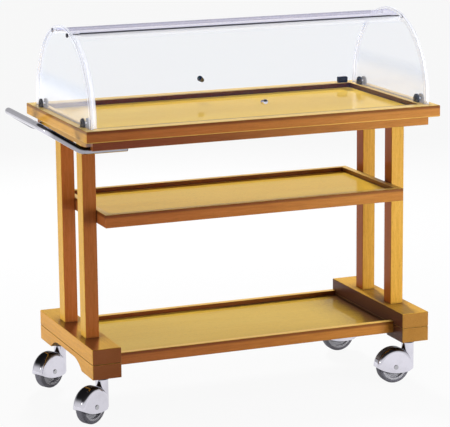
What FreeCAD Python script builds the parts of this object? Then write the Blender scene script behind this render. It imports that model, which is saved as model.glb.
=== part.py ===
import FreeCAD, Part
import math
import os

# Appetizer trolley of varnished wood, with a clear hinged dome, a chrome push handle and hooded casters.
# Millimetres. X runs along the trolley, with the push handle at the -X end. The front faces -Y.
# Z is up from the floor. Shapes are made with X = 0 at the middle of the tray, and are saved with
# X = 0 at the middle of the whole outline, which includes the handle.

V = FreeCAD.Vector

# Tray on top
tray_length = 1060.0
tray_depth = 550.0
rim_width = 46.0
rim_height = 33.0
tray_recess = 14.0
tray_board_thickness = 12.0
apron_inset = 24.5
apron_height = 26.0
apron_thickness = 18.0

# Posts and feet
post_width = 40.0
post_depth = 47.0
post_gap = 144.0
post_length = 555.0
post_inset = 35.0
foot_width = 84.0
foot_inset = 33.0
foot_beam_height = 44.0
foot_base_height = 42.0
foot_pad_length = 100.0
foot_arch_height = 26.0
foot_arch_run = 70.0
cross_rail_width = 42.0
cross_rail_setback = 75.0

# Shelves
shelf_rail_width = 20.0
shelf_recess = 13.0
shelf_board_thickness = 10.0
groove_depth = 8.0
tongue_thickness = 5.0
mid_shelf_inset = 80.0
mid_shelf_rise = 327.0
mid_rail_height = 37.0
bottom_shelf_inset = 92.0
bottom_shelf_rise = 17.0
bottom_rail_height = 35.0
cleat_width = 18.0

# Wood joints
edge_round = 2.5
dowel_radius = 5.0
dowel_bite = 25.0
dowel_rail_bite = 10.0

# Push handle
handle_radius = 10.0
handle_wall = 1.5
handle_reach = 92.0
handle_rise = 62.0
handle_grip_half = 161.0
handle_corner_setback = 5.0
handle_bend_radius = 32.0
handle_arm_length = 125.0
handle_axis_drop = 2.0
handle_slot_gap = 0.5
handle_tab_length = 80.0
handle_tab_height = 22.0
handle_tab_thickness = 3.0
handle_screw_radius = 2.2
handle_screw_head_radius = 4.5
handle_screw_head_height = 3.0
handle_screw_bite = 14.0
handle_screw_setback = 15.0
handle_screw_pitch = 50.0
handle_screw_height = 14.0

# Dome
plate_inset = 20.0
plate_thickness = 10.0
plate_round = 1.5
dome_inset = 29.0
dome_stilt = 8.0
plate_proud = 8.0
sheet_thickness = 5.0
panel_end_gap = 1.5
panel_seat_gap = 0.4
hinge_angle = 16.5
hinge_band_angle = 7.0
hinge_band_thickness = 4.0
hinge_tube_radius = 5.0
hinge_tube_setback = 26.0
hinge_rod_radius = 3.0
hinge_rod_head_radius = 6.0
hinge_rod_head_height = 4.0
spine_gap = 2.0
knob_height = 39.0
knob_radius = 8.5
knob_length = 20.0
knob_neck_radius = 4.2
knob_collar_radius = 7.0
knob_collar_height = 2.2
knob_stud_radius = 3.0
knob_rivet_radius = 6.0
knob_rivet_height = 2.5
catch_width = 30.0
catch_depth = 14.0
catch_height = 16.5
catch_setback = 34.0
catch_round = 2.0
clamp_width = 30.0
clamp_height = 23.0
clamp_thickness = 6.0
clamp_round = 2.5
clamp_setback = 56.0
clamp_bolt_radius = 2.5
clamp_bolt_height = 10.0
clamp_bolt_head_radius = 5.0
clamp_bolt_head_height = 2.5

# Casters
caster_height = 130.0
caster_setback = 50.0
caster_trail = 48.0
left_caster_heading = 30.0
wheel_radius = 50.0
tyre_thickness = 10.0
tyre_width = 30.0
tyre_round = 7.0
wheel_rim_thickness = 6.0
wheel_rim_width = 29.0
wheel_web_width = 10.0
wheel_hub_radius = 12.0
wheel_hub_width = 36.0
axle_radius = 4.0
axle_head_radius = 7.0
axle_head_height = 2.0
hood_gap = 3.0
hood_side_gap = 1.0
hood_wall = 4.0
hood_round = 14.0
hood_boss_radius = 18.0
hood_tip_rise = 2.0
hood_skirt_drop = 18.0
hood_front_drop = 10.0
stem_radius = 6.0
stem_length = 36.0
socket_wall = 3.0
socket_length = 38.0
socket_flange_radius = 18.0
socket_flange_height = 3.0
swivel_gap = 0.5

# Clearances: round fits, and flat seats on curved or moving faces
fit = 0.05
seat = 0.15

# How near an edge is to a plane to count as lying on it
on_plane = 0.01

# Places worked out from the sizes above
foot_bottom = caster_height
foot_joint = foot_bottom + foot_base_height
foot_top = foot_joint + foot_beam_height
apron_bottom = foot_top + post_length
rim_bottom = apron_bottom + apron_height
rim_top = rim_bottom + rim_height
tray_floor = rim_top - tray_recess
tray_board_bottom = tray_floor - tray_board_thickness
half_length = tray_length / 2
half_depth = tray_depth / 2
frame_x = half_length - post_inset - post_width / 2
post_y = (post_gap + post_depth) / 2
post_inner_x = frame_x - post_width / 2
foot_inner_x = frame_x - foot_width / 2
foot_half = half_depth - foot_inset
apron_x = half_length - apron_inset
apron_y = half_depth - apron_inset
apron_inner_x = apron_x - apron_thickness
apron_inner_y = apron_y - apron_thickness
mid_bottom = foot_top + mid_shelf_rise
bottom_shelf_bottom = foot_bottom + bottom_shelf_rise
handle_z = apron_bottom - handle_axis_drop
handle_arm_y = apron_inner_y - handle_radius - seat
handle_corner_x = half_length - handle_corner_setback
handle_grip_x = half_length + handle_reach
handle_end_x = handle_corner_x - handle_arm_length
plate_outer_x = half_length - plate_inset
plate_inner_x = plate_outer_x - plate_thickness
dome_radius = half_depth - dome_inset
dome_axis_z = rim_top + dome_stilt
sheet_outer = dome_radius - plate_proud
sheet_inner = sheet_outer - sheet_thickness
sheet_middle = sheet_outer - sheet_thickness / 2
panel_bottom = rim_top + panel_seat_gap
panel_half = plate_inner_x - panel_end_gap
hinge_tube_half = plate_inner_x - hinge_tube_setback
clamp_y = dome_radius - clamp_setback
caster_y = foot_half - caster_setback
hood_inner = wheel_radius + hood_gap
hood_outer = hood_inner + hood_wall
hood_well_width = wheel_hub_width + 2 * hood_side_gap
hood_width = hood_well_width + 2 * hood_wall
centre_shift = V((handle_reach + handle_radius) / 2, 0, 0)

x_axis = V(1, 0, 0)
y_axis = V(0, 1, 0)
z_axis = V(0, 0, 1)
sides = {"left": -1, "right": 1}
faces = {"front": -1, "rear": 1}


def block(x_range, y_range, z_range):
    """A box between two values on each axis, given in any order."""
    spans = [sorted(span) for span in (x_range, y_range, z_range)]
    lengths = [high - low for low, high in spans]
    return Part.makeBox(*lengths, V(*[low for low, high in spans]))


def edges_along(shape, axis):
    """The straight edges of a shape that run along an axis."""
    chosen = []
    for edge in shape.Edges:
        run = edge.Vertexes[-1].Point - edge.Vertexes[0].Point
        if run.Length > 0 and abs(run.dot(axis)) > 0.999 * run.Length:
            chosen.append(edge)
    return chosen


def rounded_bar(x_range, y_range, z_range, axis):
    """A wooden bar with its four long edges eased."""
    bar = block(x_range, y_range, z_range)
    return bar.makeFillet(edge_round, edges_along(bar, axis))


def prism(points, direction):
    """A straight prism on a closed outline of points."""
    return Part.Face(Part.makePolygon(points + points[:1])).extrude(direction)


def rod(centre, axis, radius, start, end):
    """A round rod along an axis through a point, between two distances from it."""
    return Part.makeCylinder(radius, end - start, centre + axis * start, axis)


def mirrored(shape, axis):
    """The mirror image of a shape across the plane through the origin square to an axis."""
    return shape.mirror(V(0, 0, 0), axis)


def mitred_rails(half_x, half_y, width, bottom, height, board):
    """Front, rear, left and right rails with mitred corners, grooved for the board."""
    z_range = (bottom, bottom + height)
    lift = V(0, 0, height)
    rails = {}
    for name, side in faces.items():
        bar = rounded_bar((-half_x, half_x), (side * half_y, side * (half_y - width)), z_range, x_axis)
        outline = [V(-half_x, side * half_y, bottom), V(half_x, side * half_y, bottom),
                   V(half_x - width, side * (half_y - width), bottom),
                   V(width - half_x, side * (half_y - width), bottom)]
        rails[name] = bar.common(prism(outline, lift)).cut(board)
    for name, side in sides.items():
        bar = rounded_bar((side * half_x, side * (half_x - width)), (-half_y, half_y), z_range, y_axis)
        outline = [V(side * half_x, -half_y, bottom), V(side * half_x, half_y, bottom),
                   V(side * (half_x - width), half_y - width, bottom),
                   V(side * (half_x - width), width - half_y, bottom)]
        rails[name] = bar.common(prism(outline, lift)).cut(board)
    return rails


def tongued_board(x_range, y_range, z_range, end_tongue):
    """Board between rails, with a tongue low on its edges for their grooves; 0 leaves its ends plain."""
    tongue_x = (x_range[0] - end_tongue, x_range[1] + end_tongue)
    tongue_y = (y_range[0] - groove_depth, y_range[1] + groove_depth)
    tongue = block(tongue_x, tongue_y, (z_range[0], z_range[0] + tongue_thickness))
    return block(x_range, y_range, z_range).fuse(tongue).removeSplitter()


def tray(nodes):
    """Top tray: a board held by its tongue in the grooves of a mitred rim."""
    board_x = half_length - rim_width
    board_y = half_depth - rim_width
    z_range = (tray_board_bottom, tray_floor)
    board = tongued_board((-board_x, board_x), (-board_y, board_y), z_range, groove_depth)
    nodes["tray_board"] = board
    for name, rail in mitred_rails(half_length, half_depth, rim_width, rim_bottom, rim_height, board).items():
        nodes["tray_rim_" + name] = rail


def apron(nodes):
    """Apron boards under the rim; the left one is slotted for the arms of the handle."""
    z_range = (apron_bottom, rim_bottom)
    for name, side in faces.items():
        board = rounded_bar((-apron_x, apron_x), (side * apron_inner_y, side * apron_y), z_range, x_axis)
        nodes["apron_" + name] = board.cut(handle_screw_holes(side))
    slot_radius = handle_radius + handle_slot_gap
    for name, side in sides.items():
        ends = (-apron_inner_y, apron_inner_y)
        nodes["apron_" + name] = rounded_bar((side * apron_inner_x, side * apron_x), ends, z_range, y_axis)
    for side in faces.values():
        centre = V(-apron_x, side * handle_arm_y, handle_z)
        slot = rod(centre, x_axis, slot_radius, 0, apron_thickness)
        nodes["apron_left"] = nodes["apron_left"].cut(slot)


def frame(nodes):
    """Posts, feet and the cross rails under the tray ends."""
    rail_half = half_depth - cross_rail_setback
    rail_outer_x = half_length - rim_width
    rails = [block((side * rail_outer_x, side * (rail_outer_x - cross_rail_width)),
                   (-rail_half, rail_half), (apron_bottom, tray_board_bottom)) for side in sides.values()]
    nodes["cross_rails"] = Part.makeCompound(rails)
    for name, side in sides.items():
        for place, face in faces.items():
            post = rounded_bar((side * frame_x - post_width / 2, side * frame_x + post_width / 2),
                               (face * post_y - post_depth / 2, face * post_y + post_depth / 2),
                               (foot_top, apron_bottom), z_axis)
            nodes["post_" + name + "_" + place] = post
        foot_range = (side * frame_x - foot_width / 2, side * frame_x + foot_width / 2)
        beam = block(foot_range, (-foot_half, foot_half), (foot_joint, foot_top))
        nodes["foot_beam_" + name] = beam.makeFillet(edge_round, beam.Edges)
        nodes["foot_base_" + name] = foot_base(foot_range)


def foot_base(x_range):
    """Lower half of a foot: a pad over each caster, arched between them."""
    x = x_range[0]
    pad_inner = foot_half - foot_pad_length
    flat_half = pad_inner - foot_arch_run
    arch_top = foot_bottom + foot_arch_height
    arch_radius = (foot_arch_run ** 2 + foot_arch_height ** 2) / (2 * foot_arch_height)
    half_turn = math.asin(foot_arch_run / arch_radius) / 2
    bulge_y = flat_half + arch_radius * math.sin(half_turn)
    bulge_z = arch_top - arch_radius * (1 - math.cos(half_turn))
    rear_arc = Part.Arc(V(x, pad_inner, foot_bottom), V(x, bulge_y, bulge_z), V(x, flat_half, arch_top))
    front_arc = Part.Arc(V(x, -flat_half, arch_top), V(x, -bulge_y, bulge_z), V(x, -pad_inner, foot_bottom))
    outline = [
        Part.makePolygon([V(x, -pad_inner, foot_bottom), V(x, -foot_half, foot_bottom),
                          V(x, -foot_half, foot_joint), V(x, foot_half, foot_joint),
                          V(x, foot_half, foot_bottom), V(x, pad_inner, foot_bottom)]),
        rear_arc.toShape(),
        Part.makeLine(V(x, flat_half, arch_top), V(x, -flat_half, arch_top)),
        front_arc.toShape(),
    ]
    edges = [edge for piece in outline for edge in piece.Edges]
    base = Part.Face(Part.Wire(Part.__sortEdges__(edges))).extrude(V(x_range[1] - x, 0, 0))
    corners = edges_along(base, z_axis)
    rim = [edge for edge in base.Edges if all(abs(v.Z - foot_joint) < on_plane for v in edge.Vertexes)]
    base = base.makeFillet(edge_round, corners + rim)
    holes = [rod(V(x + foot_width / 2, side * caster_y, foot_bottom), z_axis,
                 stem_radius + socket_wall + 2 * fit, 0, socket_length + fit) for side in faces.values()]
    return base.cut(holes)


def shelves(nodes):
    """Middle shelf in a mitred frame, and bottom shelf between the feet, flush with their rear ends."""
    mid_y = half_depth - mid_shelf_inset
    board_top = mid_bottom + mid_rail_height - shelf_recess
    board_x = post_inner_x - shelf_rail_width
    board_y = mid_y - shelf_rail_width
    z_range = (board_top - shelf_board_thickness, board_top)
    board = tongued_board((-board_x, board_x), (-board_y, board_y), z_range, groove_depth)
    nodes["mid_shelf_board"] = board
    rails = mitred_rails(post_inner_x, mid_y, shelf_rail_width, mid_bottom, mid_rail_height, board)
    for name, rail in rails.items():
        nodes["mid_shelf_rail_" + name] = rail

    shelf_top = bottom_shelf_bottom + bottom_rail_height
    board_top = shelf_top - shelf_recess
    board_bottom = board_top - shelf_board_thickness
    ends = (-foot_inner_x, foot_inner_x)
    outer = {"front": bottom_shelf_inset - half_depth, "rear": foot_half}
    inner = {name: outer[name] - side * shelf_rail_width for name, side in faces.items()}
    board = tongued_board(ends, (inner["front"], inner["rear"]), (board_bottom, board_top), 0)
    nodes["bottom_shelf_board"] = board
    for name in faces:
        bar = rounded_bar(ends, (inner[name], outer[name]), (bottom_shelf_bottom, shelf_top), x_axis)
        nodes["bottom_shelf_rail_" + name] = bar.cut(board)
    cleats = [block((side * foot_inner_x, side * (foot_inner_x - cleat_width)), inner.values(),
                    (bottom_shelf_bottom, board_bottom)) for side in sides.values()]
    nodes["bottom_shelf_cleats"] = Part.makeCompound(cleats)


def dowel_places():
    """Centre, direction and reach both ways of every dowel in the frame."""
    places = []
    for side in sides.values():
        for face in faces.values():
            post = V(side * frame_x, face * post_y, 0)
            places.append((post + z_axis * foot_top, z_axis, dowel_bite, dowel_bite))
            places.append((post + z_axis * apron_bottom, z_axis, dowel_bite, dowel_bite))
            shelf_end = V(side * post_inner_x, face * post_y, mid_bottom + mid_rail_height / 2)
            places.append((shelf_end, x_axis * side, dowel_rail_bite, dowel_bite))
    return places


def dowels(nodes):
    """Dowels that join the posts to feet, cross rails and middle shelf, and their holes."""
    pins = []
    holes = []
    for centre, axis, back, ahead in dowel_places():
        pins.append(rod(centre, axis, dowel_radius, -back, ahead))
        holes.append(rod(centre, axis, dowel_radius + fit, -back - fit, ahead + fit))
    for name in list(nodes):
        if name.startswith(("post_", "foot_beam_", "cross_rails", "mid_shelf_rail_")):
            touching = [hole for hole in holes if hole.BoundBox.intersect(nodes[name].BoundBox)]
            if touching:
                nodes[name] = nodes[name].cut(touching)
    nodes["frame_dowels"] = Part.makeCompound(pins)


def rounded_path(points, radius):
    """A wire of straight runs through points, with each corner turned into a tangent arc."""
    edges = []
    start = points[0]
    for before, corner, after in zip(points, points[1:], points[2:]):
        arriving = (corner - before).normalize()
        leaving = (after - corner).normalize()
        half_turn = arriving.getAngle(leaving) / 2
        trim = radius * math.tan(half_turn)
        inward = (leaving - arriving).normalize()
        first = corner - arriving * trim
        last = corner + leaving * trim
        middle = corner + inward * (radius / math.cos(half_turn) - radius)
        edges.append(Part.makeLine(start, first))
        edges.append(Part.Arc(first, middle, last).toShape())
        start = last
    edges.append(Part.makeLine(start, points[-1]))
    return Part.Wire(edges)


def swept_round(path, start, direction, radius):
    """A round bar along a path."""
    section = Part.Wire(Part.makeCircle(radius, start, direction))
    return path.makePipeShell([section], True, False)


def handle_screw_places(side):
    """Points on the inner face of one handle tab where its screws enter."""
    first = handle_end_x + handle_screw_setback
    y = side * (apron_inner_y - handle_tab_thickness)
    return [V(-x, y, apron_bottom + handle_screw_height) for x in (first, first + handle_screw_pitch)]


def handle_screw_holes(side):
    """Holes for the screws of one handle arm, through its tab and into the apron."""
    reach = handle_tab_thickness + handle_screw_bite + fit
    return [rod(place, y_axis * side, handle_screw_radius + fit, 0, reach)
            for place in handle_screw_places(side)]


def handle(nodes):
    """Push handle: one bent tube, with a welded tab on each arm screwed to the inside of the apron."""
    grip_z = handle_z + handle_rise
    front = [V(-handle_end_x, -handle_arm_y, handle_z), V(-handle_corner_x, -handle_arm_y, handle_z),
             V(-handle_grip_x, -handle_grip_half, grip_z)]
    rear = [V(point.x, -point.y, point.z) for point in reversed(front)]
    path = rounded_path(front + rear, handle_bend_radius)
    tabs = [block((-handle_end_x, -handle_end_x - handle_tab_length),
                  (side * (apron_inner_y - handle_tab_thickness), side * apron_inner_y),
                  (apron_bottom, apron_bottom + handle_tab_height)) for side in faces.values()]
    tube = swept_round(path, front[0], x_axis, handle_radius).fuse(tabs)
    tube = tube.cut(swept_round(path, front[0], x_axis, handle_radius - handle_wall))
    screws = []
    reach = handle_tab_thickness + handle_screw_bite
    for side in faces.values():
        tube = tube.cut(handle_screw_holes(side))
        for place in handle_screw_places(side):
            shank = rod(place, y_axis * side, handle_screw_radius, 0, reach)
            head = rod(place, y_axis * side, handle_screw_head_radius, -handle_screw_head_height, 0)
            screws.append(head.fuse(shank).removeSplitter())
    nodes["push_handle"] = tube
    nodes["handle_screws"] = Part.makeCompound(screws)


def dome_point(x, radius, degrees):
    """A point on the arch of the dome, at an angle from its top towards the front."""
    turn = math.radians(degrees)
    return V(x, -radius * math.sin(turn), dome_axis_z + radius * math.cos(turn))


def sheet_sector(inner, outer, start, end, half_run):
    """A stretch of curved sheet between two angles, along the trolley."""
    x = -half_run
    middle = (start + end) / 2
    outline = [
        Part.Arc(*[dome_point(x, inner, turn) for turn in (start, middle, end)]).toShape(),
        Part.makeLine(dome_point(x, inner, end), dome_point(x, outer, end)),
        Part.Arc(*[dome_point(x, outer, turn) for turn in (end, middle, start)]).toShape(),
        Part.makeLine(dome_point(x, outer, start), dome_point(x, inner, start)),
    ]
    return Part.Face(Part.Wire(outline)).extrude(V(2 * half_run, 0, 0))


def hinge_point(x, side):
    """A point on the hinge line of the front (-1) or rear (1) panel."""
    return dome_point(x, sheet_middle, -side * hinge_angle)


def clamp_places():
    """Middle of each clamp at the height of its bolt, on the inner face of the end plate."""
    return [(side, V(side * plate_inner_x, face * clamp_y, rim_top + clamp_bolt_height))
            for side in sides.values() for face in faces.values()]


def end_plate(side):
    """Clear end plate: a stilted half circle standing on the rim, bored for rods and clamps."""
    x = side * plate_inner_x
    shoulders = [dome_point(x, dome_radius, turn) for turn in (90, 0, -90)]
    foot_front = V(x, -dome_radius, rim_top)
    foot_rear = V(x, dome_radius, rim_top)
    outline = Part.Wire([
        Part.makeLine(foot_front, shoulders[0]),
        Part.Arc(*shoulders).toShape(),
        Part.makeLine(shoulders[2], foot_rear),
        Part.makeLine(foot_rear, foot_front),
    ])
    plate = Part.Face(outline).extrude(V(side * plate_thickness, 0, 0))
    arch = [edge for edge in plate.Edges if isinstance(edge.Curve, Part.Circle)]
    plate = plate.makeFillet(plate_round, arch)
    holes = [rod(hinge_point(x, face), x_axis * side, hinge_rod_radius + fit, 0, plate_thickness)
             for face in faces.values()]
    holes += [rod(place, x_axis * side, clamp_bolt_radius + fit, 0, plate_thickness)
              for place_side, place in clamp_places() if place_side == side]
    return plate.cut(holes)


def button_head(centre, axis, radius, height):
    """A round fastener head with its outer edge eased, standing on a point."""
    head = rod(centre, axis, radius, 0, height)
    crown = max(head.Edges, key=lambda edge: edge.CenterOfMass.dot(axis) if edge.Closed else -math.inf)
    return head.makeFillet(height / 2, [crown])


def pinned_bar(start, end, radius, head_radius, head_height):
    """A round bar with a button head at each end."""
    axis = (end - start).normalize()
    bar = Part.makeCylinder(radius, (end - start).Length, start, axis)
    heads = [button_head(start, axis * -1, head_radius, head_height),
             button_head(end, axis, head_radius, head_height)]
    return bar.fuse(heads).removeSplitter()


def clamp_jaw(inner_x, outer_x, y):
    """One jaw of a clamp: an upright tongue with a round top, eased on its outer face."""
    half = clamp_width / 2
    shoulder = rim_top + clamp_height - half
    outline = Part.Wire([
        Part.makeLine(V(inner_x, y - half, rim_top), V(inner_x, y - half, shoulder)),
        Part.Arc(V(inner_x, y - half, shoulder), V(inner_x, y, rim_top + clamp_height),
                 V(inner_x, y + half, shoulder)).toShape(),
        Part.makeLine(V(inner_x, y + half, shoulder), V(inner_x, y + half, rim_top)),
        Part.makeLine(V(inner_x, y + half, rim_top), V(inner_x, y - half, rim_top)),
    ])
    jaw = Part.Face(outline).extrude(V(outer_x - inner_x, 0, 0))
    lip = [edge for edge in jaw.Edges
           if all(abs(v.X - outer_x) < on_plane for v in edge.Vertexes)
           and edge.CenterOfMass.z > rim_top + on_plane]
    return jaw.makeFillet(clamp_round, lip)


def dome(nodes):
    """Fixed part of the dome: end plates, spine, hinge rods and the clamps on the rim."""
    for name, side in sides.items():
        nodes["dome_end_" + name] = end_plate(side)
    spine_angle = hinge_angle - math.degrees((hinge_tube_radius + spine_gap) / sheet_middle)
    nodes["dome_spine"] = sheet_sector(sheet_inner, sheet_outer, -spine_angle, spine_angle, plate_inner_x)
    rods = [pinned_bar(hinge_point(-plate_outer_x, face), hinge_point(plate_outer_x, face),
                       hinge_rod_radius, hinge_rod_head_radius, hinge_rod_head_height)
            for face in faces.values()]
    nodes["hinge_rods"] = Part.makeCompound(rods)
    jaws = []
    bolts = []
    for side, place in clamp_places():
        inner_end = place - x_axis * side * clamp_thickness
        outer_end = place + x_axis * side * (plate_thickness + clamp_thickness)
        pair = [clamp_jaw(place.x, inner_end.x, place.y),
                clamp_jaw(side * plate_outer_x, outer_end.x, place.y)]
        grip = plate_thickness + 2 * clamp_thickness
        hole = rod(inner_end, x_axis * side, clamp_bolt_radius + fit, 0, grip)
        jaws += [jaw.cut(hole) for jaw in pair]
        bolts.append(pinned_bar(inner_end, outer_end, clamp_bolt_radius,
                                clamp_bolt_head_radius, clamp_bolt_head_height))
    nodes["clamp_jaws"] = Part.makeCompound(jaws)
    nodes["clamp_bolts"] = Part.makeCompound(bolts)


def knob_turn():
    """Angle of the knobs from the top of the dome."""
    return 90 - math.degrees(math.asin((knob_height - dome_stilt) / sheet_outer))


def knob_axis():
    """Direction in which the front knob points, square to the panel."""
    return dome_point(0, 1, knob_turn()) - dome_point(0, 0, 0)


def knob():
    """Front knob: a ball on a neck and collar, with a stud that is riveted inside the panel."""
    foot = dome_point(0, sheet_outer, knob_turn())
    axis = knob_axis()
    rivet_top = -sheet_thickness - seat
    ball_centre = knob_length - knob_radius
    rivet = rod(foot, axis, knob_rivet_radius, rivet_top - knob_rivet_height, rivet_top)
    stud = rod(foot, axis, knob_stud_radius, rivet_top, seat)
    collar = rod(foot, axis, knob_collar_radius, seat, knob_collar_height)
    neck = rod(foot, axis, knob_neck_radius, knob_collar_height, ball_centre)
    ball = Part.makeSphere(knob_radius, foot + axis * ball_centre)
    return rivet.fuse([stud, collar, neck, ball]).removeSplitter()


def panel():
    """Front panel: a curved sheet with a thicker band along its hinge, down to the rim."""
    sheet = sheet_sector(sheet_inner, sheet_outer, hinge_angle, 90, panel_half)
    band = sheet_sector(sheet_inner - hinge_band_thickness, sheet_inner, hinge_angle,
                        hinge_angle + hinge_band_angle, panel_half)
    skirt = block((-panel_half, panel_half), (-sheet_outer, -sheet_inner), (panel_bottom, dome_axis_z))
    tube_room = rod(hinge_point(0, -1), x_axis, hinge_tube_radius + fit, -panel_half, panel_half)
    stud_hole = rod(dome_point(0, sheet_outer, knob_turn()), knob_axis(), knob_stud_radius + fit,
                    -2 * sheet_thickness, sheet_thickness)
    return sheet.fuse([band, skirt]).removeSplitter().cut([tube_room, stud_hole])


def panels(nodes):
    """The two hinged panels, each with its hinge tube and knob, and the catch on the rear one."""
    tube = rod(hinge_point(0, -1), x_axis, hinge_tube_radius, -hinge_tube_half, hinge_tube_half)
    bore = rod(hinge_point(0, -1), x_axis, hinge_rod_radius + fit, -hinge_tube_half, hinge_tube_half)
    front = {"panel": panel(), "hinge_tube": tube.cut(bore), "knob": knob()}
    for name, shape in front.items():
        nodes["front_" + name] = shape
        nodes["rear_" + name] = mirrored(shape, y_axis)
    catch_x = plate_inner_x - catch_setback
    catch = block((catch_x - catch_width / 2, catch_x + catch_width / 2),
                  (sheet_outer, sheet_outer + catch_depth),
                  (panel_bottom + seat, panel_bottom + seat + catch_height))
    outer = [edge for edge in catch.Edges if edge.CenterOfMass.y > sheet_outer + on_plane]
    nodes["rear_catch"] = catch.makeFillet(catch_round, outer)


def caster_hood(swivel):
    """Chrome hood with its swivel stem: a round shell over the wheel, joined to an upright boss."""
    axle = swivel + V(-caster_trail, 0, wheel_radius)
    boss_top = foot_bottom - socket_flange_height - swivel_gap
    disc = rod(axle, y_axis, hood_outer, -hood_width / 2, hood_width / 2)
    disc = disc.makeFillet(hood_round, [edge for edge in disc.Edges if edge.Closed])
    boss = rod(swivel, z_axis, hood_boss_radius, wheel_radius - hood_outer, boss_top)
    stem = rod(swivel, z_axis, stem_radius, boss_top, foot_bottom + stem_length)
    well = rod(axle, y_axis, hood_inner, -hood_well_width / 2, hood_well_width / 2)
    well = well.makeFillet(hood_round - hood_wall, [edge for edge in well.Edges if edge.Closed])
    axle_hole = rod(axle, y_axis, axle_radius + fit, -hood_width, hood_width)
    tip = axle + V(-hood_outer - seat, -hood_width, hood_tip_rise)
    sag = axle + V(0, -hood_width, -hood_skirt_drop)
    toe = axle + V(caster_trail + hood_boss_radius + seat, -hood_width, -hood_front_drop)
    below = V(0, 0, -2 * hood_outer)
    opening = Part.Wire([
        Part.Arc(tip, sag, toe).toShape(),
        Part.makeLine(toe, toe + below),
        Part.makeLine(toe + below, tip + below),
        Part.makeLine(tip + below, tip),
    ])
    underside = Part.Face(opening).extrude(V(0, 2 * hood_width, 0))
    return disc.fuse([boss, stem]).removeSplitter().cut([well, underside, axle_hole])


def caster_wheel(axle):
    """Wheel core: hub, web and rim in one moulding."""
    tread = wheel_radius - tyre_thickness
    rim = rod(axle, y_axis, tread, -wheel_rim_width / 2, wheel_rim_width / 2)
    rim = rim.cut(rod(axle, y_axis, tread - wheel_rim_thickness, -wheel_rim_width / 2, wheel_rim_width / 2))
    web = rod(axle, y_axis, tread - wheel_rim_thickness / 2, -wheel_web_width / 2, wheel_web_width / 2)
    hub = rod(axle, y_axis, wheel_hub_radius, -wheel_hub_width / 2, wheel_hub_width / 2)
    bore = rod(axle, y_axis, axle_radius + fit, -wheel_hub_width / 2, wheel_hub_width / 2)
    return rim.fuse([web, hub]).removeSplitter().cut(bore)


def caster_tyre(axle):
    """Rubber tyre with rounded shoulders."""
    tyre = rod(axle, y_axis, wheel_radius, -tyre_width / 2, tyre_width / 2)
    tyre = tyre.makeFillet(tyre_round, [edge for edge in tyre.Edges if edge.Closed])
    return tyre.cut(rod(axle, y_axis, wheel_radius - tyre_thickness + fit, -tyre_width / 2, tyre_width / 2))


def casters(nodes):
    """Four swivel casters that trail towards the handle, the left pair turned, and their sockets."""
    sockets = []
    for face_name, face in faces.items():
        for side_name, side in sides.items():
            name = "caster_" + face_name + "_" + side_name + "_"
            swivel = V(side * frame_x, face * caster_y, 0)
            axle = swivel + V(-caster_trail, 0, wheel_radius)
            axle_reach = y_axis * (hood_width / 2)
            caster = {
                "hood": caster_hood(swivel),
                "axle": pinned_bar(axle - axle_reach, axle + axle_reach, axle_radius,
                                   axle_head_radius, axle_head_height),
                "wheel": caster_wheel(axle),
                "tyre": caster_tyre(axle),
            }
            heading = left_caster_heading if side_name == "left" else 0
            for piece, shape in caster.items():
                nodes[name + piece] = shape.rotated(swivel, z_axis, heading)
            seat_point = swivel + z_axis * foot_bottom
            sleeve = rod(seat_point, z_axis, stem_radius + fit + socket_wall, 0, socket_length)
            flange = rod(seat_point, z_axis, socket_flange_radius, -socket_flange_height, 0)
            bore = rod(seat_point, z_axis, stem_radius + fit, -socket_flange_height, socket_length)
            sockets.append(sleeve.fuse(flange).removeSplitter().cut(bore))
    nodes["caster_sockets"] = Part.makeCompound(sockets)


def main():
    """Build every piece and save one STEP file per node."""
    nodes = {}
    for build in (tray, apron, frame, shelves, dowels, handle, dome, panels, casters):
        build(nodes)
    os.makedirs("parts", exist_ok=True)
    for name, shape in nodes.items():
        placed = shape.translated(centre_shift)
        placed.exportStep("parts/" + name + ".step")
        state = "valid" if placed.isValid() else "NOT VALID"
        print(f"{name}: {len(placed.Solids)} solids, {placed.Volume / 1000:.1f} cm3, {state}")
    print(len(nodes), "nodes")


main()
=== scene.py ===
import math

import bmesh
import bpy
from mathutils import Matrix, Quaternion, Vector


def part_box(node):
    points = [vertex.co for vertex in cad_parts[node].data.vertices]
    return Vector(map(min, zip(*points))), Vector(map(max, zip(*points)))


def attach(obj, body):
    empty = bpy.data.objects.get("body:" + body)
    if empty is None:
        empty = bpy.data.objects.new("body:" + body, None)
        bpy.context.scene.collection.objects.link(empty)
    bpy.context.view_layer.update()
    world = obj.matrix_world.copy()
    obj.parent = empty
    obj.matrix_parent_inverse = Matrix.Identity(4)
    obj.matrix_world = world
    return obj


bl_info = {
    "name": "Appetizer trolley finish",
    "version": (1, 0, 0),
    "blender": (4, 5, 0),
    "location": "View3D > Sidebar > Trolley",
    "description": "Finishes, small fittings and studio for a wooden trolley with a clear dome",
    "category": "Object",
}

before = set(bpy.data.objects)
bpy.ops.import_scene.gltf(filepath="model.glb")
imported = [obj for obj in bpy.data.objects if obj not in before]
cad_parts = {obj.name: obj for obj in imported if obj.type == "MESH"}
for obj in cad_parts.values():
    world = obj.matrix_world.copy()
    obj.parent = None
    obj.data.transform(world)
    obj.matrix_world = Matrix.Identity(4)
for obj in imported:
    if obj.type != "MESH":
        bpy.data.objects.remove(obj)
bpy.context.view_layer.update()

FACES = ("front", "rear")
SIDES = ("left", "right")

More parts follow.
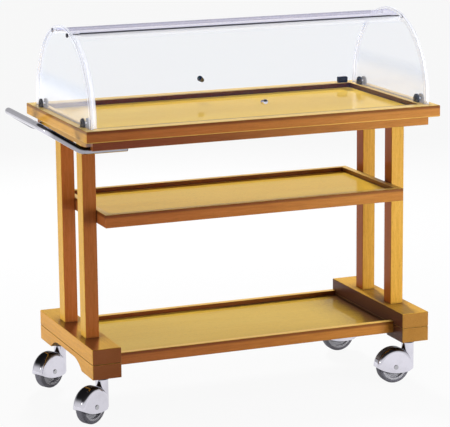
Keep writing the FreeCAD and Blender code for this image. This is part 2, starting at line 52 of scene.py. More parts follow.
# Places taken from the frame, in metres
TRAY_LOW, TRAY_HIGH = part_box("tray_board")
MIDDLE = (TRAY_LOW + TRAY_HIGH) / 2
RIM_LOW, RIM_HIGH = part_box("tray_rim_front")
APRON_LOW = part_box("apron_left")[0]
LEFT_POST_BOXES = [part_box(f"post_left_{face}") for face in FACES]
MID_RAIL_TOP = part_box("mid_shelf_rail_front")[1].z
BOTTOM_RAIL_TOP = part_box("bottom_shelf_rail_front")[1].z
BOTTOM_BOARD_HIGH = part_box("bottom_shelf_board")[1]
PLATE_LOW, PLATE_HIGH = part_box("dome_end_left")
DOME_RADIUS = (PLATE_HIGH.y - PLATE_LOW.y) / 2
DOME_AXIS_Z = PLATE_HIGH.z - DOME_RADIUS
PANEL_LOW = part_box("front_panel")[0]
HANDLE_LOW, HANDLE_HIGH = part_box("push_handle")
HANDLE_TUBE_RADIUS = 0.010
ARM_START = HANDLE_LOW.x + 2 * HANDLE_TUBE_RADIUS
SOCKETS_LOW, SOCKETS_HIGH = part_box("caster_sockets")

# Outline of a plug in the handle: shares of the tube's radius, and heights in metres
PLUG_OUTLINE = ((0.8, -0.008), (0.8, 0.0), (1.0, 0.0), (1.0, 0.0012), (0.92, 0.002), (0.6, 0.0027),
                (0.0, 0.003))

# Outline of a swivel collar with its groove, in shares of its grip and its height
COLLAR_OUTLINE = ((0.0, 0.0), (1.0, 0.10), (1.0, 0.36), (0.4, 0.44), (0.4, 0.56), (1.0, 0.64), (1.0, 0.90),
                  (0.0, 1.0), (0.0, 0.0))

# Waves per metre of the wood's figure, along and across the grain
DRIFT = (1.6, 9.0)
FLAME = (3.0, 24.0)
FIBRE = (22.0, 520.0)
FLECK = (90.0, 380.0)
PORES = (90.0, 1300.0)
RUBBING = (40.0, 60.0)

# Waves per metre of the marks on sheet, metal and rubber
SMUDGES = 7.0
SHEET_CAST = 2.2
STREAKS = (2.0, 25.0, 25.0)
SMEARS = 30.0
DUST = 45.0

# Noise levels between which a mark fades in
BROAD = (0.25, 0.75)
EVEN = (0.3, 0.7)
PATCHY = (0.45, 0.75)
SPARSE = (0.60, 0.70)
RUBBED = (0.40, 0.62)
SMUDGED = (0.5, 0.8)
STREAKED = (0.2, 0.8)
SMEARED = (0.4, 0.8)

# Metres by which the figure of one piece is shifted against another, along and across the grain
GRAIN_SHIFT = 3.7
CROSS_SHIFT = 1.3

# Direction of the growth rings, how much fainter they are on end grain, and how dark the pores are
RING_SLANT = (0.8, 0.6)
END_RINGS = 0.4
PORE_SHADE = 0.45

# Part of a normal along an axis at which a face starts to count as turned that way, and counts fully
TURNED = (0.6, 0.9)
LEANING = (0.5, 0.9)
CROWNED = (0.25, 0.7)
ARM_CROWNED = (0.05, 0.4)
PLATE_FLAT = (0.90, 0.99)
PLATE_ROUNDED = (0.05, 0.25)
PANEL_FOOT = (0.98, 0.999)

# How far a normal is from every axis on an edge that starts to be rubbed, and is rubbed fully
EDGE_TURN = (0.03, 0.25)

# Openness round a point at which the shade of its neighbours is full, and at which it ends
JOINT_OPEN = (0.30, 0.95)
FOOT_OPEN = (0.50, 1.0)
BOARD_OPEN = (0.87, 0.985)

# Soft edges of drawn shades and tones, in metres
SHADE_BLUR = 0.004
WEDGE_BLUR = 0.012
HALF_BLUR = 0.1
REAR_BLUR = 0.01
STRIP_BLUR = 0.001
FOOT_GLOW = 0.02

# The same for the band on the panels, in the cosine of its angle
BAND_BLUR = 0.002

# Distance from the middle, left and right, at which front faces have their full painted shade
FRONT_SHADE_SPAN = 0.45

# Painted glow of cut edges and bright bands, and how far the spine's ends and the panels' feet count as cut
CUT_GLOW = 0.4
BAND_GLOW = 0.9
SPINE_CUT = 0.3
FOOT_CUT = 0.3

# Scuffed metal and dusty rubber beside clean
SCUFF_SHADE = 0.82
DUST_SHARE = 0.6
DUST_PALE = 0.13

# Reflections: directions over which ceiling and rear wall set in, and their brightness
CEILING = (0.25, 0.60)
CEILING_SHARE = 0.06
REAR_WALL = (0.2, 0.8)
REAR_WALL_SHARE = 0.6

FLOOR_REACH = 14.0
FLOOR_PAINT = (0.45, 0.45, 0.46)
WHITE = (1.0, 1.0, 1.0)

# Place, aim, width and height of each lamp in metres, and whether it only shows in reflections
LAMPS = {
    "left": {"place": (-2.3, 0.2, 0.36), "aim": (-0.45, 0.0, 0.5), "size": (2.4, 0.6)},
    "right": {"place": (1.1, -1.4, 0.52), "aim": (0.35, -0.1, 0.45), "size": (0.8, 0.8)},
    "glint": {"place": (-2.0, -0.9, 0.75), "aim": (-0.45, 0.0, 0.1), "size": (0.22, 0.22), "mirrored": True},
    "top": {"place": (0.55, -0.1, 2.9), "aim": (0.3, 0.0, 0.5), "size": (2.0, 2.0)},
    "back": {"place": (0.9, 3.0, 1.95), "aim": (0.0, 0.0, 0.5), "size": (0.5, 0.5)},
}


class Wire:
    """A socket in a shader tree; sums and products of wires add Math nodes."""

    def __init__(self, tree, socket=None):
        self.tree = tree
        self.socket = socket

    def node(self, kind, settings=None, inputs=None, output=0):
        """Add a node, set its settings, then the values or links of its sockets, and return one output."""
        made = self.tree.nodes.new(kind)
        for name, value in (settings or {}).items():
            if name == "stops":
                set_stops(made.color_ramp, value)
            else:
                setattr(made, name, value)
        for key, value in (inputs or {}).items():
            if isinstance(value, Wire):
                self.tree.links.new(value.socket, made.inputs[key])
            else:
                made.inputs[key].default_value = value
        return Wire(self.tree, made.outputs[output]) if len(made.outputs) else made

    def maths(self, operation, *values):
        return self.node("ShaderNodeMath", {"operation": operation}, dict(enumerate(values)))

    def __add__(self, other):
        return self.maths("ADD", self, other)

    __radd__ = __add__

    def __sub__(self, other):
        return self.maths("SUBTRACT", self, other)

    def __rsub__(self, other):
        return self.maths("SUBTRACT", other, self)

    def __mul__(self, other):
        return self.maths("MULTIPLY", self, other)

    __rmul__ = __mul__

    def __truediv__(self, other):
        return self.maths("DIVIDE", self, other)

    def __abs__(self):
        return self.maths("ABSOLUTE", self)

    def larger(self, other):
        return self.maths("MAXIMUM", self, other)

    def smaller(self, other):
        return self.maths("MINIMUM", self, other)

    def sine(self):
        return self.maths("SINE", self)

    def root(self):
        return self.maths("SQRT", self)

    def sign(self):
        return self.maths("SIGN", self)

    def ramp(self, low, high, start=0.0, end=1.0):
        """Smooth step from start to end while the value goes from low to high."""
        settings = {"interpolation_type": "SMOOTHSTEP", "clamp": True}
        inputs = {"Value": self, "From Min": low, "From Max": high, "To Min": start, "To Max": end}
        return self.node("ShaderNodeMapRange", settings, inputs)

    def fade(self, low, high):
        """1 up to low, then a smooth fall to 0 at high."""
        return self.ramp(low, high, 1.0, 0.0)

    def tint(self, start, end, blend="MIX"):
        """Colour between two colours, with this value as the factor."""
        settings = {"data_type": "RGBA", "blend_type": blend}
        return self.node("ShaderNodeMix", settings, {0: self, 6: start, 7: end}, 2)

    def paint_shade(self, colour, tone):
        """The colour multiplied by a tone, as far as this value says; it paints shade."""
        return self.tint(colour, tone, "MULTIPLY")

    def parts(self):
        """The X, Y and Z of a vector."""
        split = self.node("ShaderNodeSeparateXYZ", None, {0: self}).socket.node
        return [Wire(self.tree, output) for output in split.outputs]

    def place(self):
        """X, Y and Z of the point on the object."""
        return self.node("ShaderNodeTexCoord", output="Object").parts()

    def normal(self):
        """X, Y and Z of the surface normal."""
        return self.node("ShaderNodeNewGeometry", output="Normal").parts()

    def noise(self, coordinates, waves, detail=2.0, roughness=0.5):
        """Noise over three coordinates, with waves per metre along each."""
        scaled = {axis: value * wave for axis, (value, wave) in enumerate(zip(coordinates, waves))}
        vector = self.node("ShaderNodeCombineXYZ", None, scaled)
        return self.node("ShaderNodeTexNoise", None,
                         {"Vector": vector, "Scale": 1.0, "Detail": detail, "Roughness": roughness})

    def even_noise(self, coordinates, waves, detail=2.0):
        """Noise with the same waves per metre in all directions."""
        return self.noise(coordinates, (waves, waves, waves), detail)

    def bump(self, height, strength, distance):
        """A normal that follows a height, full at a distance in metres."""
        inputs = {"Height": height, "Strength": strength, "Distance": distance}
        return self.node("ShaderNodeBump", None, inputs)


def set_stops(ramp, stops):
    """Give a colour ramp its stops, each a place and a colour."""
    while len(ramp.elements) < len(stops):
        ramp.elements.new(1.0)
    for element, (place, colour) in zip(ramp.elements, stops):
        element.position = place
        element.color = colour


def rgba(colour, share=1.0):
    """Colour with full alpha, its channels multiplied by a share."""
    return (*(channel * share for channel in colour[:3]), 1.0)


def new_material(name):
    """An empty material, and a wire to add nodes with."""
    material = bpy.data.materials.new(name)
    material.use_nodes = True
    material.node_tree.nodes.clear()
    return material, Wire(material.node_tree)


def finish_material(wire, shader):
    wire.node("ShaderNodeOutputMaterial", None, {"Surface": shader})


class Grain:
    """Figure of a piece of wood, with its grain along one axis (0, 1 or 2)."""

    def __init__(self, wire, along, fibres, look):
        self.wire = wire
        self.along = along
        self.place = wire.place()
        self.normal = wire.normal()
        chance = wire.node("ShaderNodeObjectInfo", output="Random")
        across = [axis for axis in range(3) if axis != along]
        self.lines = [self.place[along] + chance * GRAIN_SHIFT]
        self.lines += [self.place[axis] + chance * (CROSS_SHIFT + axis) for axis in across]
        self.end = abs(self.normal[along]).ramp(*TURNED)
        self.ring = self.rings(look)
        self.fibre = self.figured(fibres, 3.0, 0.6).ramp(*EVEN)
        self.pore = self.figured(PORES, 1.0).ramp(*SPARSE)

    def figured(self, waves, detail=2.0, roughness=0.5):
        """Noise drawn out along the grain."""
        return self.wire.noise(self.lines, (waves[0], waves[1], waves[1]), detail, roughness)

    def rings(self, look):
        """Growth rings that wander along the grain and are faint on end grain."""
        flame = self.figured(FLAME, 3.0)
        across = self.lines[1] * RING_SLANT[0] + self.lines[2] * RING_SLANT[1]
        turns = (across + flame * look.ring_wander) / look.ring_width
        return (turns * (2 * math.pi)).sine() * (0.5 - END_RINGS * self.end) + 0.5

    def tone(self, look):
        """Lightness of the figure, 0.5 on average."""
        drift = (self.figured(DRIFT).ramp(*BROAD) - 0.5) * look.drift_depth
        ring = (self.ring - 0.5) * look.ring_depth
        fibre = (self.fibre - 0.5) * look.fibre_depth
        return 0.5 + drift + ring + fibre

    def worn(self, crevice):
        """Edges rubbed by hands, away from crevices."""
        normal = self.normal
        edge = 1.0 - abs(normal[0]).larger(abs(normal[1])).larger(abs(normal[2]))
        return edge.ramp(*EDGE_TURN) * self.figured(RUBBING).ramp(*RUBBED) * (1.0 - crevice)

    def facing(self, axis, way, span=TURNED):
        """1 on faces turned along an axis, with way 1, or against it, with way -1."""
        return (self.normal[axis] * way).ramp(*span)

    def sides(self):
        """1 on the side faces turned to the middle of the trolley, and 1 on those turned away from it."""
        axis = 1 if self.along == 0 else 0
        inward = self.normal[axis] * (MIDDLE[axis] - self.place[axis]).sign()
        return inward.ramp(*LEANING), (inward * -1.0).ramp(*LEANING)


def crevice_shade(grain, look, reach, wedge):
    """Painted shade near other pieces, as far as a reach, with dirt in the joints; a wedge adds the painted
    shadow of the right foot on the bottom board.
    """
    distance = reach or look.crevice_reach
    shelter = grain.wire.node("ShaderNodeAmbientOcclusion", {"samples": 4}, {"Distance": distance}, "AO")
    if not wedge:
        return shelter.fade(*(FOOT_OPEN if reach else JOINT_OPEN)) * look.crevice_depth
    # Painted shadow of the right foot on the bottom board, a wedge that widens towards the front, and painted
    # shade in the corners of the board's right half
    across, ahead = grain.place[0], BOTTOM_BOARD_HIGH.y - grain.place[1]
    width = ((ahead - look.wedge_start) * look.wedge_slant).larger(look.wedge_least)
    beside = (across + width - BOTTOM_BOARD_HIGH.x).ramp(-WEDGE_BLUR, 0.5 * WEDGE_BLUR)
    right_half = (across - MIDDLE.x).ramp(-HALF_BLUR, HALF_BLUR)
    return (beside * look.wedge_depth).larger(shelter.fade(*BOARD_OPEN) * right_half)


def paint_face_shade(grain, colour, look, front_shades, inner_shade, outer_shade=None, end_shade=None,
                corner_shade=None):
    """Painted shade by the way a face is turned; on the front it goes from a left to a right tone."""
    place = grain.place
    inner, outer = grain.sides()
    left_shade, right_shade = map(rgba, front_shades)
    # Painted shade on front faces, deeper at the left than at the right
    front_shade = (place[0] - MIDDLE.x).ramp(-FRONT_SHADE_SPAN, FRONT_SHADE_SPAN).tint(left_shade, right_shade)
    colour = grain.facing(1, -1).paint_shade(colour, front_shade)
    # Painted shade on rear faces
    colour = grain.facing(1, 1).paint_shade(colour, rgba(look.rear_shade))
    # Painted shade on faces turned to the middle
    colour = inner.paint_shade(colour, rgba(inner_shade))
    # Painted shade on faces turned away from the middle
    if outer_shade:
        colour = outer.paint_shade(colour, rgba(outer_shade))
    # Painted shade on end grain
    if end_shade:
        colour = grain.end.paint_shade(colour, rgba(end_shade))
    # Painted shade on outer faces just behind the apron's front corners
    if corner_shade:
        corner = (place[1] - APRON_LOW.y).fade(0.6 * look.corner_reach, look.corner_reach)
        colour = (outer * corner).paint_shade(colour, rgba(corner_shade))
    return colour


def paint_light_on_faces(grain, colour, look, light, lit_top=0.0, lip_top=None, lip_foot=None, shading=()):
    """Painted light on faces: a painted highlight on tops by a share, the painted shadow that boxes throw
    forward on tops, and painted lines along outer faces.

    A painted dark line lies below the height lip_top, and with it a painted pale highlight may lie above
    lip_foot.
    """
    place = grain.place
    top = grain.facing(2, 1)
    # Painted highlight on tops, by a share
    if lit_top:
        colour = (top * (look.top_highlight * lit_top)).tint(colour, rgba(look.lit_top))
    # Painted shadow that each box throws forward on the tops
    for low, high in shading:
        ahead = low.y - place[1]
        across = place[0] + ahead * look.shade_slant
        past_left = across.ramp(low.x - SHADE_BLUR, low.x + 0.5 * SHADE_BLUR)
        before_right = across.fade(high.x - SHADE_BLUR, high.x + SHADE_BLUR)
        shaded = top * ahead.ramp(-0.25 * SHADE_BLUR, 0.25 * SHADE_BLUR) * past_left * before_right
        colour = shaded.paint_shade(colour, rgba(look.shade_tone))
    # Painted shade in a dark line along the upper edge of outer faces
    if lip_top:
        outer = grain.sides()[1]
        upper = outer * (lip_top - place[2]).fade(0.5 * look.lip_width, look.lip_width)
        colour = upper.paint_shade(colour, rgba(look.lip_shade))
        # Painted highlight in a pale line above lip_foot
        if lip_foot:
            lower = outer * (place[2] - lip_foot).fade(0.3 * look.line_width, 0.6 * look.line_width)
            colour = (lower * look.line_depth).tint(colour, rgba(light))
    return colour


def wood_material(name, along, colours, look, varnish, fibres, face_shade=None, marks=None, reach=None,
                  wedge=False):
    """Varnished wood with its grain along one axis.

    face_shade paints shade by the way a face is turned, and marks paint light and shade on some faces:
    highlights on tops, dark and pale lines along outer faces, and cast shadows.
    Undersides always get painted shade, and a reach says how far the painted shade of other pieces goes.
    """
    material, wire = new_material(name)
    grain = Grain(wire, along, fibres, look)
    crevice = crevice_shade(grain, look, reach, wedge)
    worn = grain.worn(crevice)
    dark, middle, light = colours
    stops = [(0.1, rgba(dark)), (0.5, rgba(middle)), (0.9, rgba(light))]
    colour = wire.node("ShaderNodeValToRGB", {"stops": stops}, {0: grain.tone(look)})
    if face_shade:
        colour = paint_face_shade(grain, colour, look, **face_shade)
    if marks:
        colour = paint_light_on_faces(grain, colour, look, light, **marks)
    # Painted shade on undersides
    colour = grain.facing(2, -1, LEANING).paint_shade(colour, rgba(look.under_shade))
    colour = (grain.pore * look.pore_depth).tint(colour, rgba(dark, PORE_SHADE))
    colour = (worn * look.edge_wear).tint(colour, rgba(light))
    relief = grain.fibre * 0.6 - grain.pore * 0.5 + grain.ring * 0.2
    shader = wire.node("ShaderNodeBsdfPrincipled", None, {
        "Base Color": crevice.tint(colour, rgba(look.crevice)),
        "Roughness": 0.36 + grain.fibre * 0.10 + worn * 0.15,
        "Specular IOR Level": 0.12,
        "Coat Weight": varnish * (1.0 - worn * 0.5),
        "Coat Roughness": 0.05,
        "Coat IOR": 1.5,
        "Normal": wire.bump(relief, strength=0.12, distance=0.0006),
    })
    finish_material(wire, shader)
    return material


def clear_shader(wire, place, colour, alpha, cut, look, glow):
    """Polished clear sheet with a painted glow, stronger on its cut edges."""
    smudge = wire.even_noise(place, SMUDGES, 3.0)
    return wire.node("ShaderNodeBsdfPrincipled", None, {
        "Base Color": colour,
        "Roughness": 0.02 + smudge.ramp(*SMUDGED) * 0.05 + cut * 0.12,
        "Alpha": alpha.smaller(1.0),
        "IOR": 1.49,
        "Coat Weight": 0.3,
        "Coat Roughness": 0.02,
        "Emission Color": cut.tint(rgba(glow), rgba(look.edge_glow)),
        "Emission Strength": 1.0,
    })


def round_dome(place):
    """Height of a point above the dome's axis, and its distance from that axis."""
    climb = place[2] - DOME_AXIS_Z
    return climb, (climb * climb + place[1] * place[1]).root()


def plate_material(name, look):
    """End plate: clear faces, painted bright cut edges, a painted bright verge inside a painted dark line
    along the arch, and a painted pale reflection over its foot.
    """
    material, wire = new_material(name)
    place = wire.place()
    normal = wire.normal()
    radius = round_dome(place)[1]
    sideways = abs(normal[0])
    cut = sideways.fade(*PLATE_ROUNDED) * (normal[2] * -1.0).fade(*TURNED)
    flat = sideways.ramp(*PLATE_FLAT)
    # Painted pale reflection over the lower part of the plate
    veil = flat * (place[2] - PLATE_LOW.z).fade(0.4 * look.veil_height, look.veil_height)
    # Painted bright verge inside a painted dark line along the arch
    verge_start = DOME_RADIUS - look.verge_width
    verge = flat * radius.ramp(verge_start, verge_start + look.outline_width)
    line = flat * radius.ramp(verge_start - look.outline_width, verge_start) - verge
    line = line.larger((1.0 - flat) * (1.0 - cut))
    colour = line.tint(rgba(look.sheet), rgba(look.outline))
    bright = cut.larger(verge).larger(veil)
    colour = bright.tint(colour, rgba(look.sheet_edge))
    alpha = look.clear_alpha + line * look.outline_alpha + cut * look.edge_alpha
    alpha = alpha + verge * look.verge_alpha + veil * look.veil_alpha
    finish_material(wire, clear_shader(wire, place, colour, alpha, bright * BAND_GLOW, look, look.sheet_glow))
    return material


def panel_material(name, look):
    """Curved panel: clear sheet, a white band along the hinge and painted bright cut edges, all with a
    painted glow.

    The front panel has a white strip along its left end, with a painted glow too.
    """
    material, wire = new_material(name)
    place = wire.place()
    normal = wire.normal()
    climb, radius = round_dome(place)
    band_start = math.cos(look.band_end)
    band = (climb / radius).ramp(band_start - BAND_BLUR, band_start + BAND_BLUR)
    foot = abs(normal[2]).ramp(*PANEL_FOOT) * climb.fade(0.0, FOOT_GLOW)
    cut = abs(normal[0]).ramp(*LEANING).larger(foot * FOOT_CUT)
    strip = (place[0] - PANEL_LOW.x).fade(look.strip_width, look.strip_width + STRIP_BLUR)
    strip = strip * place[1].fade(-STRIP_BLUR, 0.0)
    cast = wire.even_noise(place, SHEET_CAST, 1.0).ramp(*EVEN)
    colour = cast.tint(rgba(look.sheet), rgba(look.sheet_far))
    bright = band.larger(strip)
    colour = bright.larger(cut).tint(colour, rgba(look.sheet_edge))
    alpha = look.clear_alpha + cut * look.panel_edge_alpha
    alpha = alpha + (band * look.band_alpha).larger(strip * look.strip_alpha)
    # Painted glow of the cut edges, band and strip
    glow = (cut * CUT_GLOW).larger(bright * BAND_GLOW)
    finish_material(wire, clear_shader(wire, place, colour, alpha, glow, look, look.sheet_glow))
    return material


def spine_material(name, look):
    """Spine of the dome: a smoky clear strip with a painted glow, brighter on its cut ends."""
    material, wire = new_material(name)
    place = wire.place()
    cut = abs(wire.normal()[0]).ramp(*LEANING) * SPINE_CUT
    streak = wire.noise(place, STREAKS, 1.0).ramp(*STREAKED)
    colour = streak.tint(rgba(look.spine, 0.96), rgba(look.spine, 1.04))
    alpha = look.spine_alpha + cut
    finish_material(wire, clear_shader(wire, place, colour, alpha, cut, look, look.spine_glow))
    return material


def metal_material(name, colour, roughness, grain, scuffs, metallic=1.0, rear_colour=None, crown=1.0,
                   arm_from=None, arm_share=1.0):
    """Plated, blackened or brushed metal with fine scuffs.

    The rear half may have its own colour, and faces turned up may be darkened by a share, a painted dark
    reflection.
    With arm_from, only what lies to the right of it has that painted dark crown, and it also has painted
    shade all round.
    """
    material, wire = new_material(name)
    place = wire.place()
    upward = wire.normal()[2]
    smear = wire.even_noise(place, SMEARS, 3.0)
    fine = wire.noise(place, (grain, grain * 0.2, grain))
    rear = place[1].ramp(-REAR_BLUR, REAR_BLUR)
    clean = rear.tint(rgba(colour), rgba(rear_colour or colour))
    scuffed = rear.tint(rgba(colour, SCUFF_SHADE), rgba(rear_colour or colour, SCUFF_SHADE))
    plated = (smear.ramp(*PATCHY) * scuffs).tint(clean, scuffed)
    # Painted dark reflection on faces turned up
    crowned = upward.ramp(*CROWNED)
    # Painted shade on the handle's arms, with their own painted dark crown
    if arm_from is not None:
        arm = place[0].ramp(arm_from, arm_from + 2 * HANDLE_TUBE_RADIUS)
        plated = arm.paint_shade(plated, rgba(WHITE, arm_share))
        crowned = arm * upward.ramp(*ARM_CROWNED)
    shader = wire.node("ShaderNodeBsdfPrincipled", None, {
        "Base Color": crowned.paint_shade(plated, rgba(WHITE, crown)),
        "Metallic": metallic,
        "Roughness": roughness + smear.ramp(*SMEARED) * scuffs * 0.12 + fine * scuffs * 0.06,
        "Normal": wire.bump(fine, strength=0.02 * scuffs, distance=0.0002),
    })
    finish_material(wire, shader)
    return material


def moulded_material(name, colour, roughness, texture, dust):
    """Rubber or moulded plastic with a fine texture and a little dust."""
    material, wire = new_material(name)
    place = wire.place()
    fine = wire.even_noise(place, texture)
    film = wire.even_noise(place, DUST, 3.0)
    dusty = [channel * DUST_SHARE + DUST_PALE for channel in colour]
    shader = wire.node("ShaderNodeBsdfPrincipled", None, {
        "Base Color": (film.ramp(*PATCHY) * dust).tint(rgba(colour), rgba(dusty)),
        "Roughness": roughness + film * 0.12,
        "Normal": wire.bump(fine, strength=0.25, distance=0.0004),
    })
    finish_material(wire, shader)
    return material


def dress(material, *nodes):
    """Give CAD nodes a material in their only slot."""
    for name in nodes:
        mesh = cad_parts[name].data
        mesh.materials.clear()
        mesh.materials.append(material)


def lathe(name, profile, base, axis, material, body, segments=48):
    """A turned piece: a profile of (radius, height) pairs spun round an axis through a base point."""
    turned = bmesh.new()
    turn = Vector((0, 0, 1)).rotation_difference(Vector(axis))
    rings = []
    for radius, height in profile:
        ring = []
        for step in range(segments if radius else 1):
            angle = 2 * math.pi * step / segments
            point = Vector((radius * math.cos(angle), radius * math.sin(angle), height))
            ring.append(turned.verts.new(turn @ point))
        rings.append(ring)
    for low, high in zip(rings, rings[1:]):
        for step in range(segments):
            after = (step + 1) % segments
            corners = [low[step % len(low)], low[after % len(low)]]
            corners += [high[after % len(high)], high[step % len(high)]]
            turned.faces.new(list(dict.fromkeys(corners)))
    bmesh.ops.recalc_face_normals(turned, faces=turned.faces)
    for face in turned.faces:
        face.smooth = True
    mesh = bpy.data.meshes.new(name)
    turned.to_mesh(mesh)
    turned.free()
    piece = bpy.data.objects.new(name, mesh)
    bpy.context.scene.collection.objects.link(piece)
    piece.location = base
    piece.data.materials.append(material)
    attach(piece, body)


def colour_prop(name, description, default):
    return bpy.props.FloatVectorProperty(name=name, description=description, default=default, subtype="COLOR",
                                         size=3, min=0.0, max=1.0)


def place_prop(name, description, default):
    return bpy.props.FloatVectorProperty(name=name, description=description, default=default,
                                         subtype="TRANSLATION")


def number_prop(name, description, default, **options):
    return bpy.props.FloatProperty(name=name, description=description, default=default, **options)


def length_prop(name, description, default):
    return number_prop(name, description, default, unit="LENGTH")


def angle_prop(name, description, degrees):
    return number_prop(name, description, math.radians(degrees), unit="ROTATION")


def power_prop(name, description, default):
    return number_prop(name, description, default, unit="POWER")


def share_prop(name, description, default, most=1.0):
    return number_prop(name, description, default, min=0.0, max=most, subtype="FACTOR")


class TrolleyWood(bpy.types.PropertyGroup):
    """Colours and grain of the wood."""
    frame_dark: colour_prop("Frame dark", "Late wood of rails, posts and feet", (0.54, 0.275, 0.032))
    frame_mid: colour_prop("Frame middle", "Main colour of rails, posts and feet", (0.67, 0.37, 0.048))
    frame_light: colour_prop("Frame light", "Early wood of rails, posts and feet", (0.78, 0.46, 0.085))
    # Painted shade on front faces, deeper at the left end than at the right; the apron's also stands for the
    # rim's shadow
    rail_tone: colour_prop("Rail tone", "Stain on the front of rails, left", (0.75, 0.39, 0.50))
    rail_tone_right: colour_prop("Rail tone right", "The same, right", (0.71, 0.49, 0.44))
    apron_front_shade: colour_prop("Apron tone", "Stain on the front of the apron, left", (0.35, 0.13, 0.27))
    post_front_shade: colour_prop("Post tone", "Stain on the front of posts, left", (0.75, 0.41, 0.66))
    post_front_shade_right: colour_prop("Post tone right", "The same, right", (1.0, 0.98, 1.0))
    foot_front_shade: colour_prop("Foot tone", "Stain on the front of the left foot", (0.43, 0.23, 0.45))
    foot_front_shade_right: colour_prop("Foot tone right", "The same on the right foot", (0.54, 0.45, 0.54))
    # Painted shade on the ends: middle shelf ends, apron corners, and the outer faces of rim, apron and feet
    shelf_end_shade: colour_prop("Shelf end tone", "Stain on middle shelf ends and apron corners",
                                (0.42, 0.22, 0.40))
    rim_end_shade: colour_prop("Rim end tone", "Stain on the ends of the rim", (0.96, 0.86, 0.83))
    apron_end_shade: colour_prop("Apron end tone", "Stain on the ends of the apron", (0.78, 0.72, 0.60))
    foot_end_shade: colour_prop("Foot end tone", "Stain on the feet's outer sides", (0.92, 0.79, 0.74))
    # Painted shade on rear faces
    rear_shade: colour_prop("Rear tone", "Stain on rear faces", (0.47, 0.35, 0.43))
    # Painted shade on faces turned to the middle of the trolley
    inner_shade: colour_prop("Inner tone", "Stain on rail faces turned to the middle", (0.45, 0.34, 0.36))
    rim_inner_shade: colour_prop("Rim inner tone", "The same on the rim", (0.27, 0.20, 0.15))
    foot_inner_shade: colour_prop("Foot inner tone", "The same on the feet", (0.15, 0.08, 0.34))
    post_inner_shade: colour_prop("Post inner tone", "The same on the posts", (0.49, 0.21, 0.10))
    # Painted shade on undersides
    under_shade: colour_prop("Under tone", "Stain on undersides", (0.26, 0.21, 0.24))
    # Painted highlight on the tops of rim and rails, full on the upper ones and by a share on the bottom
    # shelf's
    lit_top: colour_prop("Pale top", "Wood of rail tops that are rubbed pale", (1.0, 0.72, 0.25))
    top_highlight: share_prop("Top wear", "How pale the tops of the rails are rubbed", 0.75)
    bottom_highlight: share_prop("Bottom wear", "Share of that wear on the bottom shelf's rails", 0.6)
    # Painted shade in a dark line along the upper edge of outer faces
    lip_width: length_prop("Lip width", "Width of the dark line along rim and rails", 0.0115)
    lip_shade: colour_prop("Lip tone", "Stain of the dark line along rim and rails", (0.46, 0.36, 0.26))
    # Painted highlight in a pale line under the rim
    line_width: length_prop("Line width", "Reach of the pale line under the rim", 0.0065)
    line_depth: share_prop("Line depth", "How much the pale line under the rim shows", 0.8)
    corner_reach: length_prop("Corner reach", "How far the apron is dark behind its front corners", 0.05)
    board_dark: colour_prop("Board dark", "Dark grain of tray and shelf boards", (0.86, 0.54, 0.045))
    board_mid: colour_prop("Board middle", "Main colour of tray and shelf boards", (0.98, 0.63, 0.07))
    board_light: colour_prop("Board light", "Light grain of tray and shelf boards", (1.0, 0.71, 0.115))
    # Painted shade: the bottom board is darker than the others
    deep_board: share_prop("Deep board", "How light the bottom board is beside the others", 0.75)
    ring_width: length_prop("Ring width", "Spacing of the growth rings", 0.011)
    ring_wander: length_prop("Ring wander", "How far the rings wander", 0.035)
    drift_depth: share_prop("Drift depth", "Contrast of the broad figure", 0.35)
    ring_depth: share_prop("Ring depth", "Contrast of the growth rings", 0.14)
    fibre_depth: share_prop("Fibre depth", "Contrast of the fibres", 0.34)
    pore_depth: share_prop("Pore depth", "Darkness of the pores", 0.4)
    edge_wear: share_prop("Edge wear", "How far edges are rubbed paler", 0.3)
    # Painted shade by how closely other pieces stand round a point: shade and dirt in joints and corners,
    # shade round the posts on the feet and beside the feet on the bottom board
    crevice: colour_prop("Crevice", "Colour of joints and corners", (0.10, 0.042, 0.015))
    crevice_depth: share_prop("Crevice depth", "How dark the joints and corners are", 0.75)
    crevice_reach: length_prop("Crevice reach", "How far from a joint the wood is dark", 0.007)
    foot_reach: length_prop("Foot reach", "The same on the feet", 0.055)
    shelf_reach: length_prop("Shelf reach", "The same on the bottom board", 0.16)
    # Painted shadow of the left posts on their foot
    shade_tone: colour_prop("Shade tone", "Shade of the left posts on their foot", (0.55, 0.30, 0.55))
    shade_slant: share_prop("Shade slant", "How far that shade leans left as it runs forward", 0.36)
    # Painted shadow of the right foot on the bottom board
    wedge_start: length_prop("Wedge start", "Where the right foot's shade on the board widens", 0.2)
    wedge_slant: share_prop("Wedge slant", "How fast that shade widens", 0.42)
    wedge_least: length_prop("Wedge least", "Width of that shade further back", 0.018)
    wedge_depth: share_prop("Wedge depth", "How dark that shade is", 0.7)
    post_varnish: share_prop("Post varnish", "Weight of the varnish on the posts and feet", 0.12)
    frame_varnish: share_prop("Frame varnish", "Weight of the varnish on rim, apron and rails", 0.33)
    board_varnish: share_prop("Board varnish", "Weight of the varnish on the boards", 0.6)


